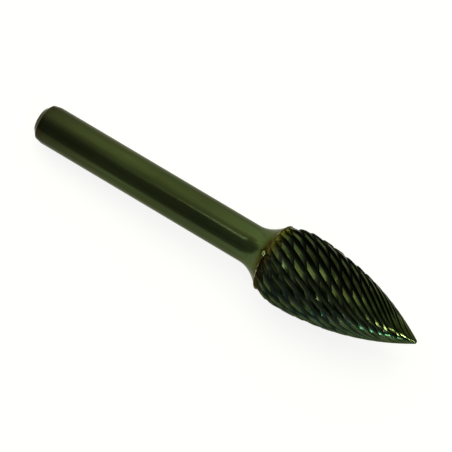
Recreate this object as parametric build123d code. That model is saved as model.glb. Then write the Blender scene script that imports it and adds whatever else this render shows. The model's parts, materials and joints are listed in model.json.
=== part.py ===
"""Carbide burr: a pointed-tree head of sintered tungsten carbide, silver-soldered to a round steel shank.

The burr is built along +X, from the free end of its shank (X = 0) to the point of its head. It is then
laid down as it comes to rest on a flat surface, on the belly of the head and the end of the shank.
The head turns clockwise when it is looked at from the shank, so every rake face looks towards +turn.
"""

from build123d import *
import os
from math import atan2, cos, degrees, hypot, radians, sin, sqrt, tan

# ---------------------------------------------------------------- driving dimensions (mm, degrees)
OVERALL_LENGTH = 69.85
SHANK_DIA = 6.35
HEAD_DIA = 12.7
HEAD_LENGTH = 26.2

# shank: end face, bevel, eased shoulder, ground cylinder and a concave collar that swells out to the head
END_FACE_DIA = 4.0
BEVEL_LENGTH = 0.8
BEVEL_DIA = 5.85
EASED_LENGTH = 1.9
FLARE_LENGTH = 4.4
FLARE_PULL = 1.7
COLLAR_PULL = (1.3, 1.25)
COLLAR_DIA = 10.7

# silver-solder joint: a thin disc whose fillet shows as a ring
BRAZE_GAP = 0.2
BRAZE_FILLET = 0.12

# head envelope, measured ahead of the brazed seat
SEAT_DIA = 10.9
SEAT_LENGTH = 0.7
BACK_CORNER_DIA = 11.2
BELLY_STATION = 3.6
TIP_DIA = 0.55

# flutes: sawtooth teeth on a right-hand helix that tightens towards the point. Every second flute stops
# short of the point, and all of them run in from the seat.
TOOTH_COUNT = 24
FLUTE_HELIX_BACK = 24.0
FLUTE_HELIX_TIP = 31.0
FLUTE_DEPTH = 0.62
FLUTE_RUN_IN = 1.2
FLUTE_RUN_IN_START = -0.2
LAND_START = 0.56
CUTTING_EDGE = 0.96
LAND_RELIEF = 0.13
TIP_LEAD_RADIUS = 2.2
SHORT_FLUTE_RADIUS = 3.0
SHORT_FLUTE_FADE = 0.9
LEAST_FLUTE = 0.06
HEAD_ROLL = 8.6

# chip breakers: steeper right-hand grooves with a sharp wall towards the point and a ramp behind it
BREAKER_COUNT = 12
BREAKER_HELIX = 54.5
BREAKER_DEPTH = 0.40
BREAKER_WIDTH = 0.98
BREAKER_WALL = 0.12
BREAKER_START = 1.0
BREAKER_END_RADIUS = 4.3
BREAKER_PHASE = 10.4
CUTTER_CLEARANCE = 0.5
LIFT_OUT_LENGTH = 3.0

# spacing of the sections that the helical surfaces are lofted through: closer where the flutes run in,
# and closer as the head narrows
SECTION_STEP = 2.4
RUN_IN_SECTIONS = 2.0
RUN_IN_FINENESS = 0.55
LEAST_FINENESS = 0.2
LAST_STEP = 1.6

# at rest the belly is held up by the corners of two teeth, a little inside HEAD_DIA
REST_SAG = 0.04

# ---------------------------------------------------------------- values that follow from them
SHANK_RADIUS = SHANK_DIA / 2
HEAD_RADIUS = HEAD_DIA / 2
SEAT = OVERALL_LENGTH - HEAD_LENGTH
COLLAR_END = SEAT - BRAZE_GAP
FLARE_START = COLLAR_END - FLARE_LENGTH
PITCH = 360 / TOOTH_COUNT
TEETH_PER_SECTOR = TOOTH_COUNT // BREAKER_COUNT
SECTOR = PITCH * TEETH_PER_SECTOR


def tangent_arc_radius(run, drop):
    """Radius of an arc that starts parallel to the axis and is `drop` off it after `run`."""
    return (run**2 + drop**2) / (2 * drop)


BACK_ARC = tangent_arc_radius(BELLY_STATION - SEAT_LENGTH, (HEAD_DIA - BACK_CORNER_DIA) / 2)
OGIVE_ARC = tangent_arc_radius(HEAD_LENGTH - BELLY_STATION, (HEAD_DIA - TIP_DIA) / 2)


def envelope(station):
    """Radius over the teeth and its slope, `station` ahead of the seat."""
    if station < SEAT_LENGTH:
        slope = (BACK_CORNER_DIA - SEAT_DIA) / 2 / SEAT_LENGTH
        return SEAT_DIA / 2 + slope * station, slope
    run = station - BELLY_STATION
    arc = OGIVE_ARC if run > 0 else BACK_ARC
    height = sqrt(arc**2 - run**2)
    return HEAD_RADIUS - arc + height, -run / height


def size_at(radius):
    """Share of full size of the teeth and grooves, which shrink with the head as it narrows."""
    return radius / HEAD_RADIUS


def ease(value):
    """Smooth step from 0 to 1."""
    value = min(1, max(0, value))
    return value**2 * (3 - 2 * value)


def helix_path(back_helix, tip_helix, start, end_radius):
    """Station, radius, slope and turn (degrees) of points along a helix that lies on the envelope."""
    station = start
    turn = 0.0
    radius, slope = envelope(station)
    path = [(station, radius, slope, turn)]
    while station < HEAD_LENGTH and radius > end_radius:
        helix = radians(back_helix + (tip_helix - back_helix) * station / HEAD_LENGTH)
        fineness = RUN_IN_FINENESS if station < RUN_IN_SECTIONS else size_at(radius)
        step = SECTION_STEP * max(fineness, LEAST_FINENESS) * cos(helix)
        if HEAD_LENGTH - station < LAST_STEP * step:
            step = HEAD_LENGTH - station
        next_radius, slope = envelope(station + step)
        arc = hypot(step, next_radius - radius)
        turn += degrees(tan(helix) * arc / max((radius + next_radius) / 2, TIP_LEAD_RADIUS))
        station += step
        radius = next_radius
        path.append((station, radius, slope, turn))
    return path


def on_head(station, radius, angle):
    """Point at a polar place around the axis; angles run from +Y towards +Z."""
    return Vector(SEAT + station, radius * cos(radians(angle)), radius * sin(radians(angle)))


def tooth_sector_outline(station, radius, turn):
    """Cross-section of the teeth of one sector, closed through the axis."""
    run_in = ease((station - FLUTE_RUN_IN_START) / FLUTE_RUN_IN)
    full_depth = FLUTE_DEPTH * size_at(radius) * max(LEAST_FLUTE, run_in)
    fade = ease((radius - SHORT_FLUTE_RADIUS) / SHORT_FLUTE_FADE + 1)
    short_depth = full_depth * max(LEAST_FLUTE, fade)
    corners = [on_head(station, 0, 0)]
    for tooth in range(TEETH_PER_SECTOR):
        depth = short_depth if tooth % 2 else full_depth
        root = turn + tooth * PITCH
        corners.append(on_head(station, radius - depth, root))
        corners.append(on_head(station, radius - LAND_RELIEF * depth, root + LAND_START * PITCH))
        corners.append(on_head(station, radius, root + CUTTING_EDGE * PITCH))
    corners.append(on_head(station, radius - full_depth, turn + SECTOR))
    return Wire.make_polygon(corners, close=True)


def make_breaker_cutter():
    """The sweep of the wheel that grinds one chip-breaker groove; it lifts out towards the point."""
    back = (BREAKER_WIDTH - BREAKER_WALL) * CUTTER_CLEARANCE / BREAKER_DEPTH
    front = BREAKER_WALL * CUTTER_CLEARANCE / BREAKER_DEPTH
    wheel = [
        (BREAKER_WALL, -BREAKER_DEPTH),
        (BREAKER_WIDTH + back, CUTTER_CLEARANCE),
        (-front, CUTTER_CLEARANCE),
    ]
    path = helix_path(BREAKER_HELIX, BREAKER_HELIX, BREAKER_START, BREAKER_END_RADIUS)
    end = path[-1][0]
    sections = []
    for station, radius, slope, turn in path:
        lean = atan2(slope, 1)
        outward = on_head(0, cos(lean), turn) - Vector(SEAT + sin(lean), 0, 0)
        along = on_head(0, sin(lean), turn) - Vector(SEAT - cos(lean), 0, 0)
        around = Vector(0, -sin(radians(turn)), cos(radians(turn)))
        across = around * cos(radians(BREAKER_HELIX)) - along * sin(radians(BREAKER_HELIX))
        lift = CUTTER_CLEARANCE * max(0, 1 - (end - station) / LIFT_OUT_LENGTH) ** 2
        foot = on_head(station, radius, turn)
        size = size_at(radius)
        sections.append(
            Wire.make_polygon(
                [foot + across * (u * size) + outward * (v * size + lift) for u, v in wheel],
                close=True,
            )
        )
    return Solid.make_loft(sections, ruled=True)


def lies_on_axis(vertex):
    """True for a corner of a face that closes the sector inside the head."""
    return hypot(vertex.Y, vertex.Z) < 1e-4


def make_cutting_head():
    """One sector of teeth with its chip breakers, repeated around the axis and sewn into a solid."""
    path = helix_path(FLUTE_HELIX_BACK, FLUTE_HELIX_TIP, 0, 0)
    sector = Solid.make_loft([tooth_sector_outline(station, radius, turn) for station, radius, _, turn in path])
    cutter = make_breaker_cutter().rotate(Axis.X, BREAKER_PHASE)
    sector -= [cutter.rotate(Axis.X, index * SECTOR) for index in range(BREAKER_COUNT)]
    skin = [face for face in sector.faces() if sum(map(lies_on_axis, face.vertices())) < 2]
    faces = [face.rotate(Axis.X, index * SECTOR) for index in range(BREAKER_COUNT) for face in skin]
    head = Solid(Shell(faces)).clean()
    return head.rotate(Axis.X, HEAD_ROLL)


def make_shank():
    """Turned shank: eased end, ground cylinder and the collar that carries the head."""
    flare = (FLARE_START, SHANK_RADIUS)
    flare_pull = (FLARE_START + FLARE_PULL, SHANK_RADIUS)
    collar_pull = (COLLAR_END - COLLAR_PULL[0], COLLAR_DIA / 2 - COLLAR_PULL[1])
    collar = (COLLAR_END, COLLAR_DIA / 2)
    end = Polyline(
        (0, 0), (0, END_FACE_DIA / 2), (BEVEL_LENGTH, BEVEL_DIA / 2), (EASED_LENGTH, SHANK_RADIUS), flare
    )
    swell = Bezier(flare, flare_pull, collar_pull, collar)
    inside = Polyline(collar, (COLLAR_END, 0), (0, 0))
    return revolve(make_face([*end.edges(), swell, *inside.edges()]), Axis.X)


def make_braze_joint():
    """Solder between collar and seat, with the fillet that shows as a ring."""
    crest = SEAT_DIA / 2 + BRAZE_FILLET
    outline = Polyline(
        (COLLAR_END, 0),
        (COLLAR_END, COLLAR_DIA / 2),
        (COLLAR_END + BRAZE_GAP * 0.25, crest),
        (COLLAR_END + BRAZE_GAP * 0.75, crest),
        (SEAT, SEAT_DIA / 2 - BRAZE_FILLET / 2),
        (SEAT, 0),
        close=True,
    )
    return revolve(make_face(outline), Axis.X)


def rest_location(parts):
    """Tip the burr onto its belly and the end of its shank, and centre it over the origin."""
    belly_lever = SEAT + BELLY_STATION - EASED_LENGTH
    tilt = degrees(atan2(HEAD_RADIUS - REST_SAG - SHANK_RADIUS, belly_lever))
    tipped = Compound(children=[part.rotate(Axis.Y, -tilt) for part in parts])
    box = tipped.bounding_box()
    lift = Location((-box.center().X, -box.center().Y, -box.min.Z))
    return lift * Location((0, 0, 0), (0, -tilt, 0))


parts = {
    "shank": make_shank(),
    "braze_joint": make_braze_joint(),
    "cutting_head": make_cutting_head(),
}
at_rest = rest_location(parts.values())

os.makedirs("parts", exist_ok=True)
for name, part in parts.items():
    export_step(part.moved(at_rest), f"parts/{name}.step")
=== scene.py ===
"""Carbide burr: looks and studio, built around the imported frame."""

import json
from math import atan2, cos, hypot, pi, radians, sin, sqrt, tan

import bmesh
import bpy
from mathutils import Matrix, Vector


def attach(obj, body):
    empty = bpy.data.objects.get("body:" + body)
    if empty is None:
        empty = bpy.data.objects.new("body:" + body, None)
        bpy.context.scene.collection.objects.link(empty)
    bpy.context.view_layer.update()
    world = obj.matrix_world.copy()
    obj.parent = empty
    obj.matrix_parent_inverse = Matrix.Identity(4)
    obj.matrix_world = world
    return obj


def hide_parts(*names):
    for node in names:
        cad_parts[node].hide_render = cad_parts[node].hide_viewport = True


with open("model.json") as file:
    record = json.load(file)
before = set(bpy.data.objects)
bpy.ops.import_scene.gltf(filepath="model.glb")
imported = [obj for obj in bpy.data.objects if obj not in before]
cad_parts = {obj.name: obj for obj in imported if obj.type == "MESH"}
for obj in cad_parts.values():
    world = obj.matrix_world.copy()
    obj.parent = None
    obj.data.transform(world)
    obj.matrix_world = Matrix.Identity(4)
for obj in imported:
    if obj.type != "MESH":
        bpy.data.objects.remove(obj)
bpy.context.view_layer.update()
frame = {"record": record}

bl_info = {
    "name": "Carbide Burr",
    "version": (1, 0, 0),
    "blender": (4, 5, 0),
    "location": "View3D > Sidebar > Burr",
    "description": "Builds a brazed pointed-tree carbide burr and a small studio to show it in",
    "category": "Add Mesh",
}

MM = 0.001

# The burr is modelled along +X, from the free end of its shank, and then laid down along BURR_AXIS.
SHANK_MOUNT = frame["record"]["mounts"][0]
SHANK_RADIUS = SHANK_MOUNT["dims"]["r_mm"] * MM
SHANK_STRAIGHT = SHANK_MOUNT["dims"]["length_mm"] * MM
BURR_AXIS = -Vector(SHANK_MOUNT["axis"]).normalized()
LEAN = atan2(BURR_AXIS.z, BURR_AXIS.x)
EASED_LENGTH = 1.9 * MM
SHANK_END = Vector(SHANK_MOUNT["pos_m"]) - BURR_AXIS * (EASED_LENGTH + SHANK_STRAIGHT / 2)


# ---------------------------------------------------------------- settings
def linear(hex_colour):
    """An sRGB hex colour as linear RGBA."""
    channels = [int(hex_colour[i : i + 2], 16) / 255 for i in (1, 3, 5)]
    return [c / 12.92 if c <= 0.04045 else ((c + 0.055) / 1.055) ** 2.4 for c in channels] + [1.0]


class BurrShape(bpy.types.PropertyGroup):
    """Sizes of the burr. Stations are measured along its axis."""

    overall_length: bpy.props.FloatProperty(
        name="Overall length", description="Shank's end to the point", default=69.85 * MM, unit="LENGTH"
    )
    end_face_radius: bpy.props.FloatProperty(
        name="End face radius", description="Flat at the shank's end", default=2.0 * MM, unit="LENGTH"
    )
    bevel_length: bpy.props.FloatProperty(
        name="Bevel length", description="Bevel at the shank's end", default=0.8 * MM, unit="LENGTH"
    )
    bevel_radius: bpy.props.FloatProperty(
        name="Bevel radius", description="Radius where the bevel ends", default=2.925 * MM, unit="LENGTH"
    )
    flare_length: bpy.props.FloatProperty(
        name="Flare length", description="Concave collar behind the head", default=4.4 * MM, unit="LENGTH"
    )
    collar_radius: bpy.props.FloatProperty(
        name="Collar radius", description="Front edge of the collar", default=5.35 * MM, unit="LENGTH"
    )
    braze_gap: bpy.props.FloatProperty(
        name="Braze gap", description="Solder between collar and head", default=0.2 * MM, unit="LENGTH"
    )
    head_radius: bpy.props.FloatProperty(
        name="Head radius", description="Over the teeth at the belly", default=6.35 * MM, unit="LENGTH"
    )
    head_length: bpy.props.FloatProperty(
        name="Head length", description="Brazed seat to the point", default=26.2 * MM, unit="LENGTH"
    )
    seat_radius: bpy.props.FloatProperty(
        name="Seat radius", description="Radius of the brazed seat", default=5.45 * MM, unit="LENGTH"
    )
    corner_radius: bpy.props.FloatProperty(
        name="Back corner radius", description="Where the back rounds off", default=5.6 * MM, unit="LENGTH"
    )
    corner_station: bpy.props.FloatProperty(
        name="Back corner", description="Ahead of the seat", default=0.7 * MM, unit="LENGTH"
    )
    belly_station: bpy.props.FloatProperty(
        name="Belly", description="Widest place, ahead of the seat", default=3.6 * MM, unit="LENGTH"
    )
    tip_radius: bpy.props.FloatProperty(
        name="Tip radius", description="Small flat at the point", default=0.275 * MM, unit="LENGTH"
    )
    tooth_count: bpy.props.IntProperty(name="Teeth", description="Right-hand flutes", default=24, min=8)
    flute_depth: bpy.props.FloatProperty(
        name="Flute depth", description="Depth at the belly", default=0.62 * MM, unit="LENGTH"
    )
    helix_back: bpy.props.FloatProperty(
        name="Helix at the seat", description="Flute angle there", default=radians(24.0), unit="ROTATION"
    )
    helix_tip: bpy.props.FloatProperty(
        name="Helix at the point", description="Flute angle there", default=radians(31.0), unit="ROTATION"
    )
    head_roll: bpy.props.FloatProperty(
        name="Head roll", description="Turn of the teeth", default=radians(8.6), unit="ROTATION"
    )
    breaker_count: bpy.props.IntProperty(
        name="Chip breakers", description="Grooves across the teeth", default=12, min=1
    )
    breaker_helix: bpy.props.FloatProperty(
        name="Chip-breaker helix", description="Angle of the grooves", default=radians(54.5), unit="ROTATION"
    )
    breaker_depth: bpy.props.FloatProperty(
        name="Chip-breaker depth", description="Depth at the belly", default=0.40 * MM, unit="LENGTH"
    )
    breaker_width: bpy.props.FloatProperty(
        name="Chip-breaker width", description="Width at the belly", default=0.98 * MM, unit="LENGTH"
    )
    breaker_phase: bpy.props.FloatProperty(
        name="Chip-breaker phase", description="Turn from the teeth", default=radians(10.4), unit="ROTATION"
    )


class FinishColours(bpy.types.PropertyGroup):
    """Main colour of each finish."""

    steel: bpy.props.FloatVectorProperty(
        name="Steel", description="Oiled shank", size=4, default=linear("#3e492b"), subtype="COLOR"
    )
    solder: bpy.props.FloatVectorProperty(
        name="Solder", description="Tarnished braze", size=4, default=linear("#545020"), subtype="COLOR"
    )
    land: bpy.props.FloatVectorProperty(
        name="Lands", description="Carbide, fresh ground", size=4, default=linear("#525f34"), subtype="COLOR"
    )
    # Partly painted shade: the flutes are painted darker than the lands, as shade falls in the cuts.
    flute: bpy.props.FloatVectorProperty(
        name="Flutes", description="Carbide in the cuts", size=4, default=linear("#1e221e"), subtype="COLOR"
    )


class StudioSettings(bpy.types.PropertyGroup):
    """Camera and floor."""

    azimuth: bpy.props.FloatProperty(
        name="Camera azimuth", description="Round from the front", default=radians(34.5), unit="ROTATION"
    )
    elevation: bpy.props.FloatProperty(
        name="Camera elevation", description="Above the floor", default=radians(66.1), unit="ROTATION"
    )
    distance: bpy.props.FloatProperty(
        name="Camera distance", description="From camera to burr", default=1.2, unit="LENGTH"
    )
    field: bpy.props.FloatProperty(
        name="Field", description="Width of the view at the burr", default=69.3 * MM, unit="LENGTH"
    )
    aim_station: bpy.props.FloatProperty(
        name="Aim", description="Station that the view is hung on", default=37.1 * MM, unit="LENGTH"
    )
    aim_offset: bpy.props.FloatVectorProperty(
        name="Aim offset",
        description="How far the middle of the view is to the right of the aim and above it",
        size=2,
        default=(-2.0 * MM, 1.7 * MM),
        unit="LENGTH",
    )
    floor_colour: bpy.props.FloatVectorProperty(
        name="Floor", description="White paper sweep", size=4, default=linear("#8c8c8c"), subtype="COLOR"
    )


# ---------------------------------------------------------------- the burr's outline
def tangent_arc_radius(run, drop):
    """Radius of an arc that starts parallel to the axis and is `drop` off it after `run`."""
    return (run**2 + drop**2) / (2 * drop)


def envelope(shape, station):
    """Radius over the teeth and its slope, `station` ahead of the brazed seat."""
    if station < shape.corner_station:
        slope = (shape.corner_radius - shape.seat_radius) / shape.corner_station
        return shape.seat_radius + slope * station, slope
    run = station - shape.belly_station
    if run < 0:
        length, drop = shape.belly_station - shape.corner_station, shape.head_radius - shape.corner_radius
    else:
        length, drop = shape.head_length - shape.belly_station, shape.head_radius - shape.tip_radius
    arc = tangent_arc_radius(length, drop)
    height = sqrt(arc**2 - run**2)
    return shape.head_radius - arc + height, -run / height


# Ahead of this radius the flutes run in towards the point with a steady lead.
TIP_LEAD_RADIUS = 2.2 * MM
# Rings stand closer together behind the belly and as the head narrows, and the last one is at the point.
FLUTE_SPACING = 0.45 * MM
BREAKER_SPACING = 0.6 * MM
LEAST_FINENESS = 0.35
BACK_FINENESS = 0.5
LAST_STEP = 1.6
TINY = 1e-9


def helix_path(shape, back_helix, tip_helix, start, end_radius, spacing):
    """Station, radius, slope and turn along a helix that lies on the head's envelope."""
    station = start
    turn = 0.0
    radius, slope = envelope(shape, station)
    path = [(station, radius, slope, turn)]
    while station < shape.head_length - TINY and radius > end_radius:
        helix = back_helix + (tip_helix - back_helix) * station / shape.head_length
        step = spacing * max(radius / shape.head_radius, LEAST_FINENESS)
        if station < shape.belly_station:
            step = spacing * BACK_FINENESS
        if shape.head_length - station < LAST_STEP * step:
            step = shape.head_length - station
        next_radius, slope = envelope(shape, station + step)
        mean_radius = max((radius + next_radius) / 2, TIP_LEAD_RADIUS)
        turn += tan(helix) * hypot(step, next_radius - radius) / mean_radius
        station += step
        radius = next_radius
        path.append((station, radius, slope, turn))
    return path


def ease(value):
    """Smooth step from 0 to 1."""
    value = min(1.0, max(0.0, value))
    return value * value * (3 - 2 * value)


# ---------------------------------------------------------------- modelling helpers
TURNED_CORNERS = 160
MERGE_DISTANCE = 1e-7


def start_piece(name):
    """Names the primitive that has just been added and opens it for editing, all selected."""
    piece = bpy.context.object
    bpy.ops.object.transform_apply(location=True, rotation=True, scale=True)
    piece.name = name
    piece.data.name = name
    bpy.ops.object.mode_set(mode="EDIT")
    bpy.ops.mesh.select_all(action="SELECT")
    return piece


def add_disc(name, corners, radius, station):
    """A disc square to the burr's axis, open for editing."""
    bpy.ops.object.select_all(action="DESELECT")
    bpy.ops.mesh.primitive_circle_add(
        vertices=corners,
        radius=radius,
        fill_type="NGON",
        location=(station, 0, 0),
        rotation=(pi / 2, 0, pi / 2),
    )
    return start_piece(name)


def extrude_along(distance):
    bpy.ops.mesh.extrude_region_move(TRANSFORM_OT_translate={"value": (distance, 0, 0)})


def widen(ratio):
    """Scales what is selected towards or away from the burr's axis."""
    bpy.ops.transform.resize(value=(1, ratio, ratio), center_override=(0, 0, 0))


# With no window open, transform.rotate turns the other way.
TWIST_SIGN = -1


def twist(angle):
    """Turns what is selected about the burr's axis, right-handed about +X."""
    bpy.ops.transform.rotate(value=TWIST_SIGN * angle, orient_axis="X", center_override=(0, 0, 0))


def select_only(piece):
    bpy.ops.object.select_all(action="DESELECT")
    piece.select_set(True)
    bpy.context.view_layer.objects.active = piece


def close_piece():
    """Closes the editing with every face turned outwards."""
    bpy.ops.mesh.select_all(action="SELECT")
    bpy.ops.mesh.remove_doubles(threshold=MERGE_DISTANCE)
    bpy.ops.mesh.normals_make_consistent(inside=False)
    bpy.ops.object.mode_set(mode="OBJECT")


def lay_down(piece):
    """Moves a finished piece from the bench to its place at rest."""
    select_only(piece)
    piece.rotation_euler = (0, -LEAN, 0)
    piece.location = SHANK_END
    bpy.ops.object.transform_apply(location=True, rotation=True, scale=True)


def turn_profile(name, profile):
    """A lathe-turned solid: a disc extruded and widened from station to station."""
    station, radius = profile[0]
    piece = add_disc(name, TURNED_CORNERS, radius, station)
    for next_station, next_radius in profile[1:]:
        extrude_along(next_station - station)
        widen(next_radius / radius)
        station, radius = next_station, next_radius
    close_piece()
    return piece


def apply_boolean(piece, operation, other):
    """Joins another solid to the piece or cuts it away, and throws the other away."""
    select_only(piece)
    modifier = piece.modifiers.new("Boolean", "BOOLEAN")
    modifier.operation = operation
    modifier.solver = "EXACT"
    modifier.object = other
    bpy.ops.object.modifier_apply(modifier=modifier.name)
    bpy.data.objects.remove(other)


# ---------------------------------------------------------------- materials
def add_node(tree, kind, inputs=None, stops=(), **settings):
    """Adds a node with its settings. Each input is given a value, or a node or socket to link from, and
    stops are the positions and colours of a colour ramp."""
    node = tree.nodes.new(kind)
    for key, value in settings.items():
        setattr(node, key, value)
    for key, value in (inputs or {}).items():
        if isinstance(value, bpy.types.Node):
            value = next(socket for socket in value.outputs if socket.enabled)
        if isinstance(value, bpy.types.NodeSocket):
            tree.links.new(value, node.inputs[key])
        else:
            node.inputs[key].default_value = value
    if stops:
        elements = node.color_ramp.elements
        while len(elements) < len(stops):
            elements.new(0.5)
        for element, (position, colour) in zip(elements, stops):
            element.position = position
            element.color = linear(colour) if isinstance(colour, str) else colour
    return node


def new_material(name):
    material = bpy.data.materials.new(name)
    material.use_nodes = True
    material.node_tree.nodes.clear()
    return material, material.node_tree


def burr_place(tree, along=1.0, across=1.0):
    """The burr's own coordinates, X along its axis, in units of `along` and `across` millimetres."""
    return add_node(
        tree,
        "ShaderNodeMapping",
        {
            "Vector": add_node(tree, "ShaderNodeTexCoord").outputs["Object"],
            "Location": SHANK_END,
            "Rotation": (0, -LEAN, 0),
            "Scale": (MM * along, MM * across, MM * across),
        },
        vector_type="TEXTURE",
    )


def finish_metal(tree, colour, roughness, height, lift_mm, strength, edge_tint):
    """Bare metal over a height from 0 to 1 that stands lift_mm high; its rims take the edge tint."""
    bump = add_node(
        tree, "ShaderNodeBump", {"Height": height, "Strength": strength, "Distance": lift_mm * MM}
    )
    shader = add_node(
        tree,
        "ShaderNodeBsdfPrincipled",
        {
            "Base Color": colour,
            "Metallic": 1.0,
            "Roughness": roughness,
            "Specular Tint": linear(edge_tint),
            "Normal": bump,
        },
    )
    add_node(tree, "ShaderNodeOutputMaterial", {"Surface": shader})


def ground_tool_steel(shape, colours):
    """Tool steel, centreless ground and then darkened by oil and handling: olive grey, greener where the
    film is thick, with long drag marks, a burnt brown patch at the end and straw heat tints at the braze."""
    material, tree = new_material("ground_tool_steel")
    place = burr_place(tree)
    station = add_node(tree, "ShaderNodeSeparateXYZ", {"Vector": place}).outputs["X"]
    seat = (shape.overall_length - shape.head_length) / MM

    # Oil film, thicker towards the head, in patches 2 mm across that lie up to 2.5 mm off their station.
    patches = add_node(
        tree, "ShaderNodeTexNoise", {"Vector": place, "Scale": 0.5, "Detail": 4.0, "Roughness": 0.6}
    )
    film = add_node(tree, "ShaderNodeMath", {0: patches, 1: 5.0, 2: station}, operation="MULTIPLY_ADD")
    film = add_node(tree, "ShaderNodeMapRange", {"Value": film, "From Min": 2.5, "From Max": seat + 2.5})
    stops = (
        (0.0, "#2f3421"),
        (0.12, "#353c24"),
        (0.36, colours.steel),
        (0.7, "#3a4429"),
        (0.88, "#424f30"),
        (1.0, "#4a5a36"),
    )
    colour = add_node(tree, "ShaderNodeValToRGB", {"Fac": film}, stops)

    # Drag marks of collets and rags, 14 mm long and 0.35 mm wide.
    marks = {"Vector": burr_place(tree, 14.0, 0.35), "Scale": 1.0, "Detail": 4.0, "Roughness": 0.6}
    marks = add_node(tree, "ShaderNodeTexNoise", marks)
    stops = (0.3, "#d9d2c0"), (0.5, "#f6f6f0"), (0.7, "#ffffff")
    marks = add_node(tree, "ShaderNodeValToRGB", {"Fac": marks}, stops)
    colour = add_node(
        tree,
        "ShaderNodeMix",
        {"Factor": 1.0, "A": colour, "B": marks},
        data_type="RGBA",
        blend_type="MULTIPLY",
    )

    # Rust in streaks 7 mm long and 0.6 mm wide.
    rust = {"Vector": burr_place(tree, 7.0, 0.6), "Scale": 1.0, "Detail": 5.0, "Roughness": 0.6}
    rust = add_node(tree, "ShaderNodeTexNoise", rust)
    rust = add_node(
        tree, "ShaderNodeMapRange", {"Value": rust, "From Min": 0.56, "From Max": 0.7, "To Max": 0.5}
    )
    colour = add_node(
        tree, "ShaderNodeMix", {"Factor": rust, "A": colour, "B": linear("#3a3019")}, data_type="RGBA"
    )

    # Burnt oil on the last 2.6 mm, in patches 1.8 mm across.
    fading = {"Value": station, "From Min": 0.9, "From Max": 2.6, "To Min": 1.0, "To Max": 0.0}
    fading = add_node(tree, "ShaderNodeMapRange", fading)
    burnt = add_node(
        tree, "ShaderNodeTexNoise", {"Vector": place, "Scale": 0.55, "Detail": 4.0, "Roughness": 0.6}
    )
    burnt = add_node(
        tree, "ShaderNodeMapRange", {"Value": burnt, "From Min": 0.42, "From Max": 0.56, "To Max": 0.9}
    )
    burnt = add_node(tree, "ShaderNodeMath", {0: fading, 1: burnt}, operation="MULTIPLY")
    colour = add_node(
        tree, "ShaderNodeMix", {"Factor": burnt, "A": colour, "B": linear("#231d12")}, data_type="RGBA"
    )

    # Heat tint at the braze, over the last 1.4 mm, with an edge that wanders in patches 1.1 mm across.
    heat = add_node(tree, "ShaderNodeTexNoise", {"Vector": place, "Scale": 0.9, "Detail": 4.0})
    heat = add_node(tree, "ShaderNodeMath", {0: heat, 1: 1.3, 2: station}, operation="MULTIPLY_ADD")
    heat = add_node(
        tree, "ShaderNodeMapRange", {"Value": heat, "From Min": seat - 0.9, "From Max": seat + 0.5}
    )
    stops = (0.0, "#ffffff"), (0.35, "#ece0a0"), (0.7, "#c8b052"), (1.0, "#a06a30")
    tint = add_node(tree, "ShaderNodeValToRGB", {"Fac": heat}, stops)
    colour = add_node(
        tree,
        "ShaderNodeMix",
        {"Factor": 1.0, "A": colour, "B": tint},
        data_type="RGBA",
        blend_type="MULTIPLY",
    )

    # Grinding lines round the shank. Real ones are some 0.02 mm apart; these are 0.12 mm, so that they show.
    lines = add_node(
        tree, "ShaderNodeTexNoise", {"Vector": burr_place(tree, 0.12, 6.0), "Scale": 1.0, "Detail": 3.0}
    )
    roughness = add_node(tree, "ShaderNodeMapRange", {"Value": lines, "To Min": 0.17, "To Max": 0.27})
    finish_metal(tree, colour, roughness, lines, lift_mm=0.004, strength=0.2, edge_tint="#d4d4ca")
    return material


def silver_solder(colours):
    """Silver brazing alloy, flowed and frozen: a soft bright metal tarnished gold to brown by the torch, in
    patches 1.1 mm across."""
    material, tree = new_material("silver_solder")
    tarnish = {"Vector": burr_place(tree), "Scale": 0.9, "Detail": 5.0, "Roughness": 0.65}
    tarnish = add_node(tree, "ShaderNodeTexNoise", tarnish)
    stops = (0.36, "#3a240c"), (0.5, colours.solder), (0.62, "#93a274")
    colour = add_node(tree, "ShaderNodeValToRGB", {"Fac": tarnish}, stops)
    finish_metal(tree, colour, 0.3, tarnish, lift_mm=0.03, strength=0.5, edge_tint="#d4d4ca")
    return material


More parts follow.
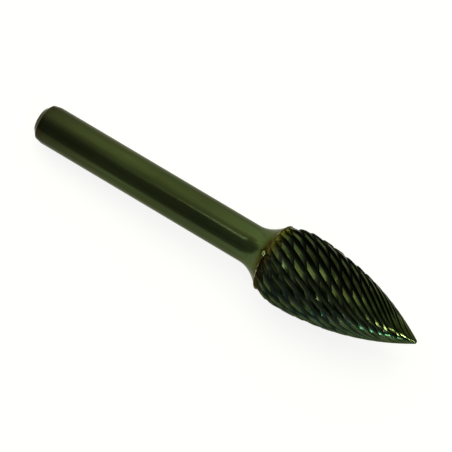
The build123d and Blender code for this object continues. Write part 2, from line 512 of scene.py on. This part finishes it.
def sintered_carbide(shape, colours):
    """Tungsten carbide sintered with cobalt and ground with diamond: near-black metal, brighter on the lands
    that the wheel left fresh, painted darker in the flutes as shade, dull in the flutes, and tinted gold
    where the braze has flowed, with painted shade on the front side of that tint."""
    material, tree = new_material("sintered_tungsten_carbide")
    depth = add_node(tree, "ShaderNodeAttribute", attribute_name="cut_depth").outputs["Fac"]
    place = burr_place(tree)
    parts = add_node(tree, "ShaderNodeSeparateXYZ", {"Vector": place}).outputs
    seat = (shape.overall_length - shape.head_length) / MM

    # Lands bright and flutes darker by cut depth, partly the carbide's own ground tone and partly painted
    # shade in the cuts, clouded by handling in patches 2 mm across.
    stops = (0.0, colours.land), (0.06, "#404d30"), (0.22, "#354030"), (0.4, "#262c24"), (0.95, colours.flute)
    colour = add_node(tree, "ShaderNodeValToRGB", {"Fac": depth}, stops)
    clouds = add_node(tree, "ShaderNodeTexNoise", {"Vector": place, "Scale": 0.5, "Detail": 4.0})
    clouds = add_node(tree, "ShaderNodeValToRGB", {"Fac": clouds}, ((0.35, "#b4bcb4"), (0.65, "#ffffff")))
    colour = add_node(
        tree,
        "ShaderNodeMix",
        {"Factor": 1.0, "A": colour, "B": clouds},
        data_type="RGBA",
        blend_type="MULTIPLY",
    )

    # Heat tint on the first 1 mm, in patches 1.2 mm across, with painted light and shade by side: gold on the
    # back side and dark brown on the front side.
    heat = add_node(tree, "ShaderNodeTexNoise", {"Vector": place, "Scale": 0.8, "Detail": 4.0})
    heat = add_node(tree, "ShaderNodeMath", {0: heat, 1: -1.4, 2: parts["X"]}, operation="MULTIPLY_ADD")
    heat = {"Value": heat, "From Min": seat - 0.3, "From Max": seat + 1.0, "To Min": 0.9, "To Max": 0.0}
    heat = add_node(tree, "ShaderNodeMapRange", heat)
    side = add_node(tree, "ShaderNodeMapRange", {"Value": parts["Y"], "From Min": -2.5, "From Max": 2.5})
    # Painted shade and light: the tint is dark brown on the front side and gold on the back side.
    heat_tint_and_side_shade = add_node(
        tree,
        "ShaderNodeMix",
        {"Factor": side, "A": linear("#2a2212"), "B": linear("#545620")},
        data_type="RGBA",
    )
    colour = add_node(tree, "ShaderNodeMix", {"Factor": heat, "A": colour, "B": heat_tint_and_side_shade}, data_type="RGBA")

    # Scratches of the diamond wheel along the flutes, 1.7 mm long. Real ones are some 0.02 mm apart; these
    # are 0.11 mm, so that they show.
    flutes = add_node(tree, "ShaderNodeAttribute", attribute_name="along_flutes").outputs["Vector"]
    scratches = add_node(tree, "ShaderNodeMapping", {"Vector": flutes, "Scale": (0.6, 9.0, 9.0)})
    scratches = add_node(tree, "ShaderNodeTexNoise", {"Vector": scratches, "Scale": 1.0, "Detail": 3.0})
    dulled = {"Value": depth, "From Min": 0.04, "From Max": 0.3, "To Max": 0.4}
    dulled = add_node(tree, "ShaderNodeMapRange", dulled)
    scratched = add_node(tree, "ShaderNodeMapRange", {"Value": scratches, "To Min": 0.1, "To Max": 0.2})
    roughness = add_node(tree, "ShaderNodeMath", {0: dulled, 1: scratched}, operation="ADD")
    finish_metal(tree, colour, roughness, scratches, lift_mm=0.006, strength=0.3, edge_tint="#c0c0b8")
    return material


# How white the paper looks by itself; the light on it makes up the rest.
PAPER_GLOW = 0.85


def white_sweep(colour):
    """Matt white paper: it takes the burr's soft shadow and reads as plain white beyond it."""
    material, tree = new_material("white_sweep")
    path = add_node(tree, "ShaderNodeLightPath").outputs
    seen = path["Is Camera Ray"]
    for ray in ("Is Glossy Ray", "Is Transmission Ray"):
        seen = add_node(tree, "ShaderNodeMath", {0: seen, 1: path[ray]}, operation="MAXIMUM")
    glow = add_node(tree, "ShaderNodeEmission", {"Color": linear("#ffffff"), "Strength": PAPER_GLOW})
    nothing = add_node(tree, "ShaderNodeEmission", {"Strength": 0.0})
    lift = add_node(tree, "ShaderNodeMixShader", {0: seen, 1: nothing, 2: glow})
    paper = add_node(tree, "ShaderNodeBsdfDiffuse", {"Color": colour})
    both = add_node(tree, "ShaderNodeAddShader", {0: paper, 1: lift})
    add_node(tree, "ShaderNodeOutputMaterial", {"Surface": both})
    return material


# ---------------------------------------------------------------- the pieces
# Edges sharper than this stay sharp on what is ground, and on what has flowed.
CUT_CREASE = radians(20)
FLOWED_CREASE = radians(50)


def finish_piece(piece, crease, material, node):
    """Lays a modelled piece down, dresses it and gives it its place in the frame."""
    lay_down(piece)
    bpy.ops.object.shade_smooth_by_angle(angle=crease)
    piece.data.materials.clear()
    piece.data.materials.append(material)
    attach(piece, "root")
    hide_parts(node)


# The collar's concave curve: how far its two middle control points stand from its ends.
FLARE_PULL = 1.7 * MM
COLLAR_PULL = (1.3 * MM, 1.25 * MM)
FLARE_STEPS = 28


class BURR_OT_shank(bpy.types.Operator):
    """Turn the steel shank with its eased end and concave collar"""

    bl_idname = "burr.shank"
    bl_label = "Shank"

    def execute(self, context):
        shape = context.scene.burr_shape
        collar = shape.overall_length - shape.head_length - shape.braze_gap
        flare = collar - shape.flare_length
        profile = [(0, shape.end_face_radius), (shape.bevel_length, shape.bevel_radius)]
        profile.append((EASED_LENGTH, SHANK_RADIUS))
        pulls = [
            Vector((flare, SHANK_RADIUS)),
            Vector((flare + FLARE_PULL, SHANK_RADIUS)),
            Vector((collar - COLLAR_PULL[0], shape.collar_radius - COLLAR_PULL[1])),
            Vector((collar, shape.collar_radius)),
        ]
        for index in range(FLARE_STEPS + 1):
            t = index / FLARE_STEPS
            weights = ((1 - t) ** 3, 3 * t * (1 - t) ** 2, 3 * t**2 * (1 - t), t**3)
            profile.append(tuple(sum((w * p for w, p in zip(weights, pulls)), Vector((0, 0)))))
        piece = turn_profile("shank_body", profile)
        material = ground_tool_steel(shape, context.scene.finish_colours)
        finish_piece(piece, CUT_CREASE, material, "shank")
        return {"FINISHED"}


# The ring of solder bulges out to a crest, and a drop of it froze against the collar.
BRAZE_FILLET = 0.12 * MM
BRAZE_STEPS = 8
BRAZE_FULLNESS = 0.6
DROP_RADIUS = 0.4 * MM
DROP_STATION = -0.2 * MM
DROP_ANGLE = radians(112)


class BURR_OT_braze(bpy.types.Operator):
    """Run the ring of silver solder and the drop that froze beside it"""

    bl_idname = "burr.braze"
    bl_label = "Braze joint"

    def execute(self, context):
        shape = context.scene.burr_shape
        seat = shape.overall_length - shape.head_length
        back = seat - shape.braze_gap
        front_radius = shape.seat_radius - BRAZE_FILLET / 2
        crest = shape.seat_radius + BRAZE_FILLET
        profile = [(back, shape.collar_radius)]
        for index in range(1, BRAZE_STEPS):
            share = index / BRAZE_STEPS
            rim = shape.collar_radius + (front_radius - shape.collar_radius) * share
            bulge = sin(pi * share) ** BRAZE_FULLNESS
            profile.append((back + shape.braze_gap * share, rim + (crest - rim) * bulge))
        profile.append((seat, front_radius))
        ring = turn_profile("braze_ring", profile)
        bpy.ops.object.select_all(action="DESELECT")
        lever = shape.collar_radius - DROP_RADIUS / 4
        bpy.ops.mesh.primitive_uv_sphere_add(
            segments=36,
            ring_count=24,
            radius=DROP_RADIUS,
            location=(seat + DROP_STATION, lever * cos(DROP_ANGLE), lever * sin(DROP_ANGLE)),
        )
        drop = start_piece("braze_drop")
        close_piece()
        apply_boolean(ring, "UNION", drop)
        material = silver_solder(context.scene.finish_colours)
        finish_piece(ring, FLOWED_CREASE, material, "braze_joint")
        return {"FINISHED"}


# One tooth's corners, as shares of the pitch and of the flute's depth: root, root radius, hollow back,
# heel and cutting edge. The rake face is the short side from the edge to the next root.
TOOTH = ((0.0, 1.0), (0.07, 0.98), (0.3, 0.58), (0.56, 0.13), (0.96, 0.0))
FLUTE_RUN_IN_START = -0.2 * MM
FLUTE_RUN_IN = 1.2 * MM
SHORT_FLUTE_RADIUS = 3.0 * MM
SHORT_FLUTE_FADE = 0.9 * MM
LEAST_FLUTE = 0.06

# A ring's corners lie within RING_SLACK of its station, and are moved only by more than LEAST_CHANGE.
RING_SLACK = 1e-6
LEAST_CHANGE = 1e-5


def flute_depths(shape, station, radius):
    """Depth of the flutes that reach the point and of those between them, which stop short of it."""
    run_in = max(LEAST_FLUTE, ease((station - FLUTE_RUN_IN_START) / FLUTE_RUN_IN))
    full = shape.flute_depth * radius / shape.head_radius * run_in
    return full, full * max(LEAST_FLUTE, ease((radius - SHORT_FLUTE_RADIUS) / SHORT_FLUTE_FADE + 1))


def corner_radii(shape, station, radius):
    """Radius of each kind of corner: those of a full flute's tooth and then those of a short one's."""
    return [
        radius - share * depth for depth in flute_depths(shape, station, radius) for _, share in TOOTH
    ]


def select_corners(piece, kind, station):
    """Selects the last ring's corners of one kind."""
    mesh = bmesh.from_edit_mesh(piece.data)
    layer = mesh.verts.layers.int["corner"]
    for vertex in mesh.verts:
        if vertex.co.x < station - RING_SLACK:
            continue
        vertex.select_set(vertex[layer] == kind)
    mesh.select_flush_mode()
    bmesh.update_edit_mesh(piece.data)


def select_ring(piece, station):
    """Selects the last ring and the face that closes it."""
    mesh = bmesh.from_edit_mesh(piece.data)
    for face in mesh.faces:
        face.select_set(False)
    for face in mesh.faces:
        if all(vertex.co.x > station - RING_SLACK for vertex in face.verts):
            face.select_set(True)
    bmesh.update_edit_mesh(piece.data)


def grind_flutes(shape):
    """The toothed head: a ring of teeth extruded, turned and drawn in from station to station."""
    kinds = 2 * len(TOOTH)
    corners = shape.tooth_count * len(TOOTH)
    pitch = 2 * pi / shape.tooth_count
    seat = shape.overall_length - shape.head_length
    path = helix_path(shape, shape.helix_back, shape.helix_tip, 0, 0, FLUTE_SPACING)
    station, radius, _, turn = path[0]
    head = add_disc("fluted_head", corners, radius, seat)
    mesh = bmesh.from_edit_mesh(head.data)
    layer = mesh.verts.layers.int.new("corner")
    mesh.verts.ensure_lookup_table()
    for index, vertex in enumerate(mesh.verts):
        vertex[layer] = index % kinds
    bmesh.update_edit_mesh(head.data)
    radii = corner_radii(shape, station, radius)
    for kind in range(kinds):
        place = kind % len(TOOTH)
        select_corners(head, kind, seat)
        twist((TOOTH[place][0] - place / len(TOOTH)) * pitch)
        widen(radii[kind] / radius)
    select_ring(head, seat)
    twist(shape.head_roll)
    for next_station, next_radius, _, next_turn in path[1:]:
        extrude_along(next_station - station)
        twist(next_turn - turn)
        widen(next_radius / radius)
        targets = corner_radii(shape, next_station, next_radius)
        changed = False
        for kind in range(kinds):
            change = targets[kind] / (radii[kind] * next_radius / radius)
            if abs(change - 1) > LEAST_CHANGE:
                select_corners(head, kind, seat + next_station)
                widen(change)
                changed = True
        if changed:
            select_ring(head, seat + next_station)
        station, radius, turn, radii = next_station, next_radius, next_turn, targets
    close_piece()
    return head


# The chip-breaking wheel's section: a sharp wall towards the point and a ramp behind it, both carried
# on above the surface so that the cut is open.
BREAKER_WALL = 0.12 * MM
BREAKER_START = 1.0 * MM
BREAKER_END_RADIUS = 4.3 * MM
CUTTER_CLEARANCE = 0.5 * MM
LIFT_OUT_LENGTH = 3.0 * MM


def breaker_sections(shape):
    """Corners of the wheel's section at each station of one groove."""
    back = (shape.breaker_width - BREAKER_WALL) * CUTTER_CLEARANCE / shape.breaker_depth
    front = BREAKER_WALL * CUTTER_CLEARANCE / shape.breaker_depth
    wheel = [
        (BREAKER_WALL, -shape.breaker_depth),
        (shape.breaker_width + back, CUTTER_CLEARANCE),
        (-front, CUTTER_CLEARANCE),
    ]
    seat = shape.overall_length - shape.head_length
    path = helix_path(
        shape, shape.breaker_helix, shape.breaker_helix, BREAKER_START, BREAKER_END_RADIUS, BREAKER_SPACING
    )
    end = path[-1][0]
    sections = []
    for station, radius, slope, turn in path:
        angle = turn + shape.head_roll + shape.breaker_phase
        radial = Vector((0, cos(angle), sin(angle)))
        around = Vector((0, -sin(angle), cos(angle)))
        lean = atan2(slope, 1)
        outward = radial * cos(lean) - Vector((sin(lean), 0, 0))
        along = radial * sin(lean) + Vector((cos(lean), 0, 0))
        across = around * cos(shape.breaker_helix) - along * sin(shape.breaker_helix)
        size = radius / shape.head_radius
        lift = CUTTER_CLEARANCE * max(0, 1 - (end - station) / LIFT_OUT_LENGTH) ** 2
        foot = radial * radius + Vector((seat + station, 0, 0))
        sections.append([foot + across * (u * size) + outward * (v * size + lift) for u, v in wheel])
    return sections


def move_corners(piece, targets):
    """Moves each corner of the selected face to its own place."""
    mesh = bmesh.from_edit_mesh(piece.data)
    layer = mesh.verts.layers.int["corner"]
    corners = [(v.index, v[layer], v.co.copy()) for v in mesh.verts if v.select]
    for index, kind, place in corners:
        mesh = bmesh.from_edit_mesh(piece.data)
        mesh.verts.ensure_lookup_table()
        for vertex in mesh.verts:
            vertex.select_set(vertex.index == index)
        bpy.ops.transform.translate(value=targets[kind] - place)
    mesh = bmesh.from_edit_mesh(piece.data)
    mesh.verts.ensure_lookup_table()
    for index, _, _ in corners:
        mesh.verts[index].select_set(True)
    mesh.select_flush(True)
    bmesh.update_edit_mesh(piece.data)


def breaker_cutters(shape):
    """Solids that cut every chip-breaker groove: one is swept, and the rest are turned copies."""
    sections = breaker_sections(shape)
    first = add_disc("breaker_cutter", 3, shape.breaker_width, sections[0][0].x)
    mesh = bmesh.from_edit_mesh(first.data)
    layer = mesh.verts.layers.int.new("corner")
    for index, vertex in enumerate(mesh.verts):
        vertex[layer] = index
    bmesh.update_edit_mesh(first.data)
    move_corners(first, sections[0])
    for section in sections[1:]:
        bpy.ops.mesh.extrude_region_move()
        move_corners(first, section)
    close_piece()
    copies = [first]
    for index in range(1, shape.breaker_count):
        copy = first.copy()
        copy.data = first.data.copy()
        bpy.context.collection.objects.link(copy)
        copy.rotation_euler = (index * 2 * pi / shape.breaker_count, 0, 0)
        copies.append(copy)
    select_only(first)
    for copy in copies:
        copy.select_set(True)
    bpy.ops.object.transform_apply(location=True, rotation=True, scale=True)
    bpy.ops.object.join()
    return first


def mark_cuts(head, shape):
    """Writes on each point how deep it lies in a cut, and its place with the helix unwound, in mm."""
    seat = shape.overall_length - shape.head_length
    path = helix_path(shape, shape.helix_back, shape.helix_tip, 0, 0, FLUTE_SPACING)
    depths = head.data.attributes.new("cut_depth", "FLOAT", "POINT")
    places = head.data.attributes.new("along_flutes", "FLOAT_VECTOR", "POINT")
    for index, vertex in enumerate(head.data.vertices):
        station = min(max(vertex.co.x - seat, 0), shape.head_length)
        radius, _ = envelope(shape, station)
        depth = (radius - hypot(vertex.co.y, vertex.co.z)) / (
            shape.flute_depth * radius / shape.head_radius
        )
        depths.data[index].value = min(max(depth, 0), 1)
        after = next(i for i, row in enumerate(path) if row[0] >= station - TINY or i == len(path) - 1)
        before = max(after - 1, 0)
        width = path[after][0] - path[before][0]
        share = (station - path[before][0]) / width if width else 0
        turn = path[before][3] + (path[after][3] - path[before][3]) * share
        unwound = Matrix.Rotation(-turn, 3, "X") @ vertex.co
        places.data[index].vector = unwound / MM


class BURR_OT_head(bpy.types.Operator):
    """Grind the carbide head with its flutes and chip breakers"""

    bl_idname = "burr.head"
    bl_label = "Cutting head"

    def execute(self, context):
        shape = context.scene.burr_shape
        head = grind_flutes(shape)
        apply_boolean(head, "DIFFERENCE", breaker_cutters(shape))
        mark_cuts(head, shape)
        material = sintered_carbide(shape, context.scene.finish_colours)
        finish_piece(head, CUT_CREASE, material, "cutting_head")
        return {"FINISHED"}


# ---------------------------------------------------------------- the studio
FLOOR_SIZE = 4.0


def place_along(azimuth, elevation, distance):
    """A place round the burr: azimuth from the front towards +X, elevation above the floor."""
    return Vector(
        (
            sin(azimuth) * cos(elevation) * distance,
            -cos(azimuth) * cos(elevation) * distance,
            sin(elevation) * distance,
        )
    )


# The lamps: name, azimuth and elevation in degrees, width along X and height in metres, brightness and
# colour. A large one from behind, a thin one for the line along the shank, and three small ones to the
# right, which the lands near the point catch.
LAMP_DISTANCE = 1.0
LAMPS = (
    ("overhead_softbox", 169.0, 75.0, (0.62, 0.8), 1.6, "#fff6c8"),
    ("strip_lamp", -58.8, 70.2, (0.29, 0.03), 12.0, "#ffffff"),
    ("side_lamp", 58.0, 47.0, (0.18, 0.08), 25.0, "#fff8c8"),
    ("bare_lamp", 56.0, 41.0, (0.04, 0.04), 360.0, "#ffffff"),
    ("window", 29.0, 7.0, (0.18, 0.07), 36.0, "#a4e4ff"),
)


def add_lamp(name, azimuth, elevation, size, brightness, colour):
    """An area lamp that faces the burr, its width along X; a brightness of 1 is that of white paper."""
    bpy.ops.object.select_all(action="DESELECT")
    place = place_along(radians(azimuth), radians(elevation), LAMP_DISTANCE)
    facing = place.normalized()
    along = (Vector((1, 0, 0)) - facing * facing.x).normalized()
    turn = Matrix((along, facing.cross(along), facing)).transposed()
    bpy.ops.object.light_add(type="AREA", location=place, rotation=turn.to_euler())
    lamp = bpy.context.object
    lamp.name = name
    lamp.data.name = name
    lamp.data.shape = "RECTANGLE"
    lamp.data.size, lamp.data.size_y = size
    lamp.data.color = linear(colour)[:3]
    lamp.data.energy = brightness * pi * size[0] * size[1]


# Light of the room over the burr, from the horizon in front (0 degrees) to the one behind (180), and how
# much of it is left towards the point, where a curtain hangs. The curtain starts at CURTAIN along X.
ROOM_STRENGTH = 1.4
ROOM_LIGHT = (
    (0, "#a8a8a8"),
    (5, "#7c7c7c"),
    (30, "#747474"),
    (70, "#747474"),
    (78, "#848480"),
    (94, "#b4b4a4"),
    (108, "#dcdcc8"),
    (125, "#f6f8dc"),
    (165, "#f0f2d8"),
    (180, "#d8dac8"),
)
CURTAIN_SHADE = ((0, "#a0a0a0"), (8, "#464646"), (62, "#464646"), (84, "#a4a4a0"))
CURTAIN = (-0.27, -0.1)


def studio_room():
    """Pale walls and ceiling behind and above the burr, a dark front, and a curtain towards its point."""
    world = bpy.data.worlds.new("studio_room")
    world.use_nodes = True
    tree = world.node_tree
    tree.nodes.clear()
    toward = add_node(tree, "ShaderNodeTexCoord").outputs["Generated"]
    parts = add_node(tree, "ShaderNodeSeparateXYZ", {"Vector": toward}).outputs
    front = add_node(tree, "ShaderNodeMath", {0: parts["Y"], 1: -1.0}, operation="MULTIPLY")
    height = add_node(tree, "ShaderNodeMath", {0: parts["Z"], 1: front}, operation="ARCTAN2")
    overhead = add_node(tree, "ShaderNodeMapRange", {"Value": height, "From Max": pi})
    light, shade = (
        add_node(
            tree,
            "ShaderNodeValToRGB",
            {"Fac": overhead},
            [(degrees / 180, colour) for degrees, colour in table],
        )
        for table in (ROOM_LIGHT, CURTAIN_SHADE)
    )
    beside = {"Value": parts["X"], "From Min": CURTAIN[0], "From Max": CURTAIN[1]}
    beside = add_node(tree, "ShaderNodeMapRange", beside)
    shade = {"Factor": beside, "A": linear("#ffffff"), "B": shade}
    shade = add_node(tree, "ShaderNodeMix", shade, data_type="RGBA")
    light = add_node(
        tree,
        "ShaderNodeMix",
        {"Factor": 1.0, "A": light, "B": shade},
        data_type="RGBA",
        blend_type="MULTIPLY",
    )
    room = add_node(tree, "ShaderNodeBackground", {"Color": light, "Strength": ROOM_STRENGTH})
    add_node(tree, "ShaderNodeOutputWorld", {"Surface": room})
    return world


class BURR_OT_studio(bpy.types.Operator):
    """Lay the white sweep, hang the lamps and set up the camera"""

    bl_idname = "burr.studio"
    bl_label = "Studio"

    def execute(self, context):
        scene = context.scene
        studio = scene.studio_settings
        bpy.ops.object.select_all(action="DESELECT")
        bpy.ops.mesh.primitive_plane_add(size=FLOOR_SIZE)
        floor = bpy.context.object
        floor.name = "floor"
        floor.data.materials.append(white_sweep(studio.floor_colour))

        for lamp in LAMPS:
            add_lamp(*lamp)
        # It glints on the head, and is kept off the paper, where it would throw a hard shadow.
        bpy.data.objects["bare_lamp"].visible_diffuse = False
        scene.world = studio_room()

        away = place_along(studio.azimuth, studio.elevation, 1.0)
        facing = away.to_track_quat("Z", "Y")
        right = facing @ Vector((1, 0, 0))
        up = facing @ Vector((0, 1, 0))
        aim = SHANK_END + BURR_AXIS * studio.aim_station
        aim += right * studio.aim_offset[0] + up * studio.aim_offset[1]
        bpy.ops.object.camera_add(location=aim + away * studio.distance, rotation=facing.to_euler())
        camera = bpy.context.object
        camera.name = "camera"
        camera.data.lens = camera.data.sensor_width * studio.distance / studio.field
        scene.camera = camera

        scene.view_settings.view_transform = "Standard"
        return {"FINISHED"}


# ---------------------------------------------------------------- add-on
class BURR_PT_panel(bpy.types.Panel):
    """Lists the steps that build the burr"""

    bl_idname = "BURR_PT_panel"
    bl_label = "Carbide burr"
    bl_space_type = "VIEW_3D"
    bl_region_type = "UI"
    bl_category = "Burr"

    def draw(self, context):
        for step in STEPS:
            self.layout.operator(step.bl_idname)
        scene = context.scene
        for settings in (scene.burr_shape, scene.finish_colours, scene.studio_settings):
            for name in settings.__annotations__:
                self.layout.prop(settings, name)


STEPS = (BURR_OT_shank, BURR_OT_braze, BURR_OT_head, BURR_OT_studio)
CLASSES = (BurrShape, FinishColours, StudioSettings, *STEPS, BURR_PT_panel)


def register():
    for cls in CLASSES:
        bpy.utils.register_class(cls)
    bpy.types.Scene.burr_shape = bpy.props.PointerProperty(type=BurrShape)
    bpy.types.Scene.finish_colours = bpy.props.PointerProperty(type=FinishColours)
    bpy.types.Scene.studio_settings = bpy.props.PointerProperty(type=StudioSettings)


def unregister():
    del bpy.types.Scene.studio_settings
    del bpy.types.Scene.finish_colours
    del bpy.types.Scene.burr_shape
    for cls in reversed(CLASSES):
        bpy.utils.unregister_class(cls)


def main():
    register()
    bpy.ops.burr.shank()
    bpy.ops.burr.braze()
    bpy.ops.burr.head()
    bpy.ops.burr.studio()


if __name__ == "__main__":
    main()
